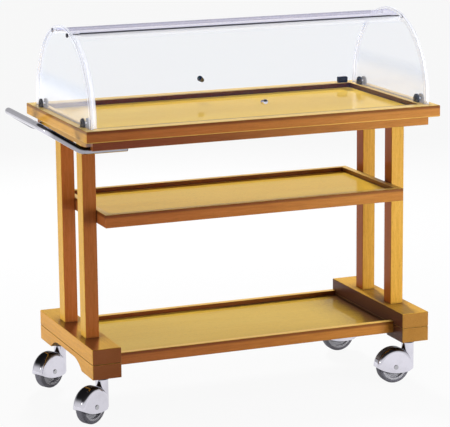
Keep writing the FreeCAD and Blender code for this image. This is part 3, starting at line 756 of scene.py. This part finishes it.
class TrolleyDome(bpy.types.PropertyGroup):
    """Look of the clear dome."""
    sheet: colour_prop("Sheet", "Cast of the clear sheet", (0.0, 0.40, 0.92))
    sheet_far: colour_prop("Sheet cast", "Second cast of the panels", (0.06, 0.27, 0.86))
    # Painted light: the sheet and its cut edges glow, and cut edges are painted bright
    sheet_glow: colour_prop("Sheet glow", "Light gathered by the sheet", (0.0, 0.0, 0.14))
    sheet_edge: colour_prop("Cut edge", "Colour of polished edges", (0.84, 0.87, 0.93))
    edge_glow: colour_prop("Edge glow", "Light gathered by cut edges", (0.42, 0.42, 0.44))
    # Painted dark line along rounded edges
    outline: colour_prop("Outline", "Line along rounded edges", (0.34, 0.34, 0.40))
    spine: colour_prop("Spine", "Smoky strip along the top", (0.66, 0.65, 0.80))
    # Painted glow of the spine
    spine_glow: colour_prop("Spine glow", "Light gathered by the spine", (0.16, 0.16, 0.23))
    clear_alpha: share_prop("Clear", "How much the flat sheet shows", 0.017)
    edge_alpha: share_prop("Plate edge", "How much the plates' cut edges show", 0.78)
    panel_edge_alpha: share_prop("Panel edge", "How much the panels' cut edges show", 0.22)
    outline_alpha: share_prop("Line", "How much the outline shows", 0.30)
    band_alpha: share_prop("Band", "How much the band along the hinge shows", 0.4)
    spine_alpha: share_prop("Spine alpha", "How much the spine shows", 0.42)
    # Painted reflections on the plates: dark line and bright verge along the arch, and pale veil at their
    # foot
    outline_width: length_prop("Outline width", "Width of the line along the arch", 0.0025)
    verge_width: length_prop("Verge width", "Width of the bright verge of the plates", 0.008)
    verge_alpha: share_prop("Verge", "How much the bright verge shows", 0.35)
    veil_height: length_prop("Veil height", "How high the pale foot of the plates reaches", 0.12)
    veil_alpha: share_prop("Veil", "How much the pale foot of the plates shows", 0.23)
    strip_width: length_prop("Strip width", "Width of the white strip on the front panel", 0.010)
    strip_alpha: share_prop("Strip", "How much the white strip shows", 0.5)
    band_end: angle_prop("Band end", "Angle from the top where the band ends", 20.8)


class TrolleyMetal(bpy.types.PropertyGroup):
    """Colours of metal, rubber and plastic, and sizes of the collars."""
    chrome: colour_prop("Chrome", "Polished plating", (0.81, 0.795, 0.88))
    steel: colour_prop("Steel", "Screws, axles and sockets", (0.55, 0.55, 0.58))
    dark_metal: colour_prop("Dark metal", "Front hinge rod, clamps and collars", (0.03, 0.03, 0.045))
    tube: colour_prop("Tube", "Hinge tubes", (0.12, 0.12, 0.15))
    rear_rod: colour_prop("Rear rod", "Rear hinge rod", (0.42, 0.42, 0.48))
    # Painted dark reflection: the rear knob, chrome like the front one, is given this dark plating
    rear_knob: colour_prop("Rear knob", "Dark plating of the rear knob", (0.11, 0.11, 0.125))
    tyre: colour_prop("Tyre", "Rubber of the tyres", (0.13, 0.127, 0.15))
    core: colour_prop("Wheel core", "Moulded wheel", (0.40, 0.40, 0.43))
    black: colour_prop("Black plastic", "Catch and plugs", (0.018, 0.018, 0.022))
    # Painted dark reflection on the crowns of the caster hoods
    crown: share_prop("Crown", "How bright the crowns of the caster hoods are", 0.28)
    # Painted shade on the handle's arms, all round and on their tops
    arm: share_prop("Handle arms", "How bright the arms of the handle are", 0.55)
    arm_crown: share_prop("Arm crown", "How bright the tops of the handle arms are", 0.15)
    flange_radius: length_prop("Flange radius", "Radius of the caster sockets' flanges", 0.018)
    boss_radius: length_prop("Boss radius", "Radius of the casters' upright bosses", 0.018)
    collar_grip: length_prop("Collar grip", "How far the collars stand out from the bosses", 0.0022)
    collar_height: length_prop("Collar height", "Height of the swivel collars", 0.009)
    collar_gap: length_prop("Collar gap", "Room between collar and flange", 0.0008)


class TrolleyStudio(bpy.types.PropertyGroup):
    """Camera and light."""
    camera_place: place_prop("Camera", "Where the camera stands", (-2.2267, -5.5976, 1.7950))
    camera_aim: place_prop("Aim", "Point in the middle of the picture", (0.0276, 0.0, 0.5097))
    camera_roll: angle_prop("Roll", "Tilt of the camera about its axis", -0.55)
    lens: number_prop("Lens", "Focal length on a 36 mm sensor", 170.0, unit="CAMERA")
    left_power: power_prop("Left lamp", "Watts of the lamp by the handle end", 38.0)
    right_power: power_prop("Right lamp", "Watts of the lamp at the front right", 20.0)
    top_power: power_prop("Top lamp", "Watts of the lamp above", 28.0)
    glint_power: power_prop("Glint lamp", "Watts of the lamp that only metal mirrors", 1.0)
    back_power: power_prop("Back lamp", "Watts of the lamp behind", 184.0)
    sky: share_prop("Sky", "Strength of the soft light from all round", 0.11, 2.0)
    floor_white: share_prop("Floor white", "How white the floor looks, before shadow", 0.93)
    sky_white: share_prop("Sky white", "How white the backdrop looks", 0.95)
    wall_mirrored: share_prop("Wall mirrored", "How white the walls are in reflections", 0.75)
    floor_mirrored: share_prop("Floor mirrored", "How white the floor is in reflections", 0.73)


class TROLLEY_OT_tray(bpy.types.Operator):
    """Finish the tray: rim, apron and board"""
    bl_idname = "trolley.tray"
    bl_label = "Finish tray"

    def execute(self, context):
        dress(frame_wood(context, "rim"), "tray_rim_front", "tray_rim_rear")
        dress(frame_wood(context, "rim_end"), "tray_rim_left", "tray_rim_right")
        dress(frame_wood(context, "apron"), "apron_front", "apron_rear")
        dress(frame_wood(context, "end"), "apron_left", "apron_right", "cross_rails")
        dress(board_wood(context, "board_wood"), "tray_board")
        return {"FINISHED"}


class TROLLEY_OT_frame(bpy.types.Operator):
    """Finish the posts, feet and dowels"""
    bl_idname = "trolley.frame"
    bl_label = "Finish frame"

    def execute(self, context):
        posts = [f"post_{side}_{face}" for side in SIDES for face in FACES]
        feet = [f"foot_{half}_{side}" for half in ("beam", "base") for side in SIDES]
        dress(frame_wood(context, "post"), "frame_dowels", *posts)
        dress(frame_wood(context, "foot"), *feet)
        return {"FINISHED"}


class TROLLEY_OT_shelves(bpy.types.Operator):
    """Finish the middle and bottom shelves"""
    bl_idname = "trolley.shelves"
    bl_label = "Finish shelves"

    def execute(self, context):
        for shelf in ("mid", "bottom"):
            rails = [f"{shelf}_shelf_rail_{face}" for face in FACES]
            dress(frame_wood(context, shelf + "_rail"), *rails)
        dress(frame_wood(context, "shelf_end"), "mid_shelf_rail_left", "mid_shelf_rail_right")
        dress(frame_wood(context, "end"), "bottom_shelf_cleats")
        dress(board_wood(context, "board_wood"), "mid_shelf_board")
        wood = context.scene.trolley_wood
        dress(board_wood(context, "deep_board_wood", wood.deep_board, wood.shelf_reach), "bottom_shelf_board")
        return {"FINISHED"}


class TROLLEY_OT_handle(bpy.types.Operator):
    """Finish the push handle and plug its tube ends"""
    bl_idname = "trolley.handle"
    bl_label = "Finish handle"

    def execute(self, context):
        dress(fitting(context, "handle_plate"), "push_handle")
        dress(fitting(context, "satin_steel"), "handle_screws")
        radius = HANDLE_TUBE_RADIUS
        profile = [(out * radius, height) for out, height in PLUG_OUTLINE]
        for face, y in zip(FACES, (HANDLE_LOW.y + radius, HANDLE_HIGH.y - radius)):
            base = (HANDLE_HIGH.x, y, HANDLE_LOW.z + radius)
            lathe("handle_plug_" + face, profile, base, (1, 0, 0), fitting(context, "black_plastic"),
                  "trolley")
        return {"FINISHED"}


class TROLLEY_OT_dome(bpy.types.Operator):
    """Finish the fixed dome: end plates, spine, rods and clamps"""
    bl_idname = "trolley.dome"
    bl_label = "Finish dome"

    def execute(self, context):
        look = context.scene.trolley_dome
        dress(plate_material("clear_plate", look), "dome_end_left", "dome_end_right")
        dress(spine_material("clear_spine", look), "dome_spine")
        dress(fitting(context, "dark_metal"), "clamp_jaws", "clamp_bolts")
        dress(fitting(context, "rod_metal"), "hinge_rods")
        return {"FINISHED"}


class TROLLEY_OT_panels(bpy.types.Operator):
    """Finish the hinged panels with their tubes, knobs and catch"""
    bl_idname = "trolley.panels"
    bl_label = "Finish panels"

    def execute(self, context):
        sheet = panel_material("clear_panel", context.scene.trolley_dome)
        for face in FACES:
            dress(sheet, face + "_panel")
            dress(fitting(context, "tube_metal"), face + "_hinge_tube")
        dress(fitting(context, "chrome_plate"), "front_knob")
        # Painted dark reflection on the rear knob
        dress(fitting(context, "dark_plate"), "rear_knob")
        dress(fitting(context, "black_plastic"), "rear_catch")
        return {"FINISHED"}


class TROLLEY_OT_casters(bpy.types.Operator):
    """Finish the casters and put a swivel collar on each"""
    bl_idname = "trolley.casters"
    bl_label = "Finish casters"

    def execute(self, context):
        metal = context.scene.trolley_metal
        flange, rise = metal.flange_radius, metal.collar_height
        profile = [(metal.boss_radius + out * metal.collar_grip, up * rise) for out, up in COLLAR_OUTLINE]
        collar_z = SOCKETS_LOW.z - metal.collar_gap - rise
        dress(fitting(context, "satin_steel"), "caster_sockets")
        for face, y in zip(FACES, (SOCKETS_LOW.y + flange, SOCKETS_HIGH.y - flange)):
            for side, x in zip(SIDES, (SOCKETS_LOW.x + flange, SOCKETS_HIGH.x - flange)):
                caster = f"caster_{face}_{side}"
                dress(fitting(context, "hood_plate"), caster + "_hood")
                dress(fitting(context, "satin_steel"), caster + "_axle")
                dress(fitting(context, "wheel_moulding"), caster + "_wheel")
                dress(fitting(context, "tyre_rubber"), caster + "_tyre")
                lathe(caster + "_collar", profile, (x, y, collar_z), (0, 0, 1),
                      fitting(context, "dark_metal"), caster + "_fork")
        return {"FINISHED"}


class TROLLEY_OT_studio(bpy.types.Operator):
    """Floor, lamps, sky and camera"""
    bl_idname = "trolley.studio"
    bl_label = "Set up studio"

    def execute(self, context):
        studio = context.scene.trolley_studio
        make_floor(studio)
        make_sky(context.scene, studio)
        for name, setting in LAMPS.items():
            make_lamp(name + "_lamp", getattr(studio, name + "_power"), **setting)
        make_camera(context.scene, studio)
        context.scene.view_settings.view_transform = "Standard"
        return {"FINISHED"}


class TROLLEY_PT_sidebar(bpy.types.Panel):
    """Trolley finish"""
    bl_label = "Trolley"
    bl_idname = "TROLLEY_PT_sidebar"
    bl_space_type = "VIEW_3D"
    bl_region_type = "UI"
    bl_category = "Trolley"

    def draw(self, context):
        for group_name, group in GROUPS.items():
            box = self.layout.box()
            for name in group.__annotations__:
                box.prop(getattr(context.scene, group_name), name)
        for step in STEPS:
            self.layout.operator(step.bl_idname)


def kept(name, make):
    """A material that is made once and then shared."""
    return bpy.data.materials.get(name) or make(name)


def frame_wood(context, piece):
    """Wood of a kind of piece, with its grain along X, Y or Z and the painted shade and painted light of its
    faces.
    """
    wood = context.scene.trolley_wood
    rail = {"front_shades": (wood.rail_tone, wood.rail_tone_right), "inner_shade": wood.inner_shade}
    rim = {**rail, "inner_shade": wood.rim_inner_shade}
    apron = {**rail, "front_shades": (wood.apron_front_shade, wood.rail_tone_right), "end_shade": wood.shelf_end_shade}
    apron_end = {**rail, "outer_shade": wood.apron_end_shade, "corner_shade": wood.shelf_end_shade}
    foot = {"front_shades": (wood.foot_front_shade, wood.foot_front_shade_right), "inner_shade": wood.foot_inner_shade,
            "outer_shade": wood.foot_end_shade}
    post = {"front_shades": (wood.post_front_shade, wood.post_front_shade_right), "inner_shade": wood.post_inner_shade}
    rim_painted_light = {"lit_top": 1.0, "lip_top": RIM_HIGH.z, "lip_foot": RIM_LOW.z}
    mid_painted_light = {"lit_top": 1.0, "lip_top": MID_RAIL_TOP}
    bottom_painted_light = {"lit_top": wood.bottom_highlight, "lip_top": BOTTOM_RAIL_TOP}
    along, face_shade, marks = {
        "rim": (0, rim, rim_painted_light),
        "rim_end": (1, {**rim, "outer_shade": wood.rim_end_shade}, rim_painted_light),
        "mid_rail": (0, rail, mid_painted_light),
        "bottom_rail": (0, rail, bottom_painted_light),
        "shelf_end": (1, {**rail, "outer_shade": wood.shelf_end_shade}, mid_painted_light),
        "apron": (0, apron, None),
        "end": (1, apron_end, None),
        "foot": (1, foot, {"shading": LEFT_POST_BOXES}),
        "post": (2, post, None),
    }[piece]
    colours = (wood.frame_dark, wood.frame_mid, wood.frame_light)
    varnish = wood.post_varnish if piece in ("post", "foot") else wood.frame_varnish
    reach = wood.foot_reach if piece == "foot" else None
    return kept(piece + "_wood", lambda name: wood_material(
        name, along, colours, wood, varnish, FIBRE, face_shade, marks, reach))


def board_wood(context, name, share=1.0, reach=None):
    """Wood of a board; a share below 1 paints it in shade, and a reach adds painted shade and the painted
    shadow of the right foot.
    """
    wood = context.scene.trolley_wood
    colours = [rgba(colour, share) for colour in (wood.board_dark, wood.board_mid, wood.board_light)]
    return kept(name, lambda name: wood_material(
        name, 0, colours, wood, wood.board_varnish, FLECK, reach=reach, wedge=bool(reach)))


def fitting(context, name):
    """Metal, rubber or plastic of a kind of fitting."""
    metal = context.scene.trolley_metal
    plate = dict(roughness=0.05, grain=900.0, scuffs=0.4)
    dark = dict(roughness=0.30, grain=1200.0, scuffs=0.8, metallic=0.4)
    arms = dict(crown=metal.arm_crown, arm_from=ARM_START, arm_share=metal.arm)
    colour, surface = {
        "chrome_plate": (metal.chrome, plate),
        "hood_plate": (metal.chrome, dict(plate, crown=metal.crown)),
        "handle_plate": (metal.chrome, dict(plate, **arms)),
        "dark_plate": (metal.rear_knob, dict(plate, roughness=0.10)),
        "satin_steel": (metal.steel, dict(roughness=0.24, grain=1400.0, scuffs=1.0)),
        "dark_metal": (metal.dark_metal, dark),
        "rod_metal": (metal.dark_metal, dict(dark, rear_colour=metal.rear_rod)),
        "tube_metal": (metal.tube, dict(dark, scuffs=0.6, metallic=0.3)),
        "black_plastic": (metal.black, dict(roughness=0.35, texture=1500.0, dust=0.2)),
        "tyre_rubber": (metal.tyre, dict(roughness=0.55, texture=900.0, dust=0.3)),
        "wheel_moulding": (metal.core, dict(roughness=0.4, texture=600.0, dust=0.15)),
    }[name]
    make = moulded_material if "dust" in surface else metal_material
    return kept(name, lambda name: make(name, colour, **surface))


def rays(wire):
    """1 for rays straight from the camera or through glass, and 1 for mirrored rays."""
    path = wire.node("ShaderNodeLightPath").socket.node
    camera, mirrored, through = [Wire(wire.tree, path.outputs[name]) for name in
                                 ("Is Camera Ray", "Is Glossy Ray", "Is Transmission Ray")]
    straight = camera.larger(through)
    return straight, mirrored * (1.0 - straight)


def make_floor(studio):
    """A pale floor that keeps the trolley's shadow."""
    mesh = bpy.data.meshes.new("studio_floor")
    reach = FLOOR_REACH
    corners = [(-reach, -reach, 0), (reach, -reach, 0), (reach, reach, 0), (-reach, reach, 0)]
    mesh.from_pydata(corners, [], [(0, 1, 2, 3)])
    floor = bpy.data.objects.new("studio_floor", mesh)
    bpy.context.scene.collection.objects.link(floor)
    material, wire = new_material("studio_floor")
    straight, mirrored = rays(wire)
    paint = wire.node("ShaderNodeBsdfDiffuse", None, {"Color": rgba(FLOOR_PAINT)})
    glow = wire.node("ShaderNodeEmission", None, {"Color": rgba(WHITE), "Strength": 1.0})
    share = straight * studio.floor_white + mirrored * studio.floor_mirrored
    finish_material(wire, wire.node("ShaderNodeMixShader", None, {0: share, 1: paint, 2: glow}))
    mesh.materials.append(material)


def make_sky(scene, studio):
    """White all round for what is seen, with a dark ceiling in reflections, and softer light for the rest."""
    world = bpy.data.worlds.new("studio_sky")
    scene.world = world
    world.use_nodes = True
    world.node_tree.nodes.clear()
    wire = Wire(world.node_tree)
    straight, mirrored = rays(wire)
    direction = wire.node("ShaderNodeTexCoord", output="Generated").parts()
    wall = direction[1].ramp(*REAR_WALL, studio.wall_mirrored, REAR_WALL_SHARE * studio.wall_mirrored)
    room = wall * direction[2].ramp(*CEILING, 1.0, CEILING_SHARE)
    strength = straight * studio.sky_white + mirrored * room
    strength = strength + (1.0 - straight) * (1.0 - mirrored) * studio.sky
    background = wire.node("ShaderNodeBackground", None, {"Color": rgba(WHITE), "Strength": strength})
    wire.node("ShaderNodeOutputWorld", None, {"Surface": background})


def make_lamp(name, power, place, aim, size, mirrored=False):
    """An area lamp that lights matt surfaces, or one that only shows in reflections."""
    light = bpy.data.lights.new(name, "AREA")
    light.shape = "RECTANGLE"
    light.size, light.size_y = size
    light.energy = power
    holder = bpy.data.objects.new(name, light)
    bpy.context.scene.collection.objects.link(holder)
    holder.location = place
    holder.rotation_euler = (Vector(aim) - Vector(place)).to_track_quat("-Z", "Y").to_euler()
    holder.visible_glossy = mirrored
    holder.visible_diffuse = not mirrored


def make_camera(scene, studio):
    data = bpy.data.cameras.new("camera")
    data.sensor_width = 36.0
    data.lens = studio.lens
    data.clip_end = 100.0
    camera = bpy.data.objects.new("camera", data)
    scene.collection.objects.link(camera)
    place = Vector(studio.camera_place)
    look = (Vector(studio.camera_aim) - place).to_track_quat("-Z", "Y")
    camera.location = place
    camera.rotation_mode = "QUATERNION"
    camera.rotation_quaternion = look @ Quaternion((0, 0, 1), studio.camera_roll)
    scene.camera = camera


GROUPS = {
    "trolley_wood": TrolleyWood,
    "trolley_dome": TrolleyDome,
    "trolley_metal": TrolleyMetal,
    "trolley_studio": TrolleyStudio,
}
STEPS = (TROLLEY_OT_tray, TROLLEY_OT_frame, TROLLEY_OT_shelves, TROLLEY_OT_handle, TROLLEY_OT_dome,
         TROLLEY_OT_panels, TROLLEY_OT_casters, TROLLEY_OT_studio)


def register():
    for name, group in GROUPS.items():
        bpy.utils.register_class(group)
        setattr(bpy.types.Scene, name, bpy.props.PointerProperty(type=group))
    for step in STEPS:
        bpy.utils.register_class(step)
    bpy.utils.register_class(TROLLEY_PT_sidebar)


def unregister():
    bpy.utils.unregister_class(TROLLEY_PT_sidebar)
    for step in reversed(STEPS):
        bpy.utils.unregister_class(step)
    for name, group in reversed(GROUPS.items()):
        delattr(bpy.types.Scene, name)
        bpy.utils.unregister_class(group)


def main():
    register()
    bpy.ops.trolley.tray()
    bpy.ops.trolley.frame()
    bpy.ops.trolley.shelves()
    bpy.ops.trolley.handle()
    bpy.ops.trolley.dome()
    bpy.ops.trolley.panels()
    bpy.ops.trolley.casters()
    bpy.ops.trolley.studio()


if __name__ == "__main__":
    main()
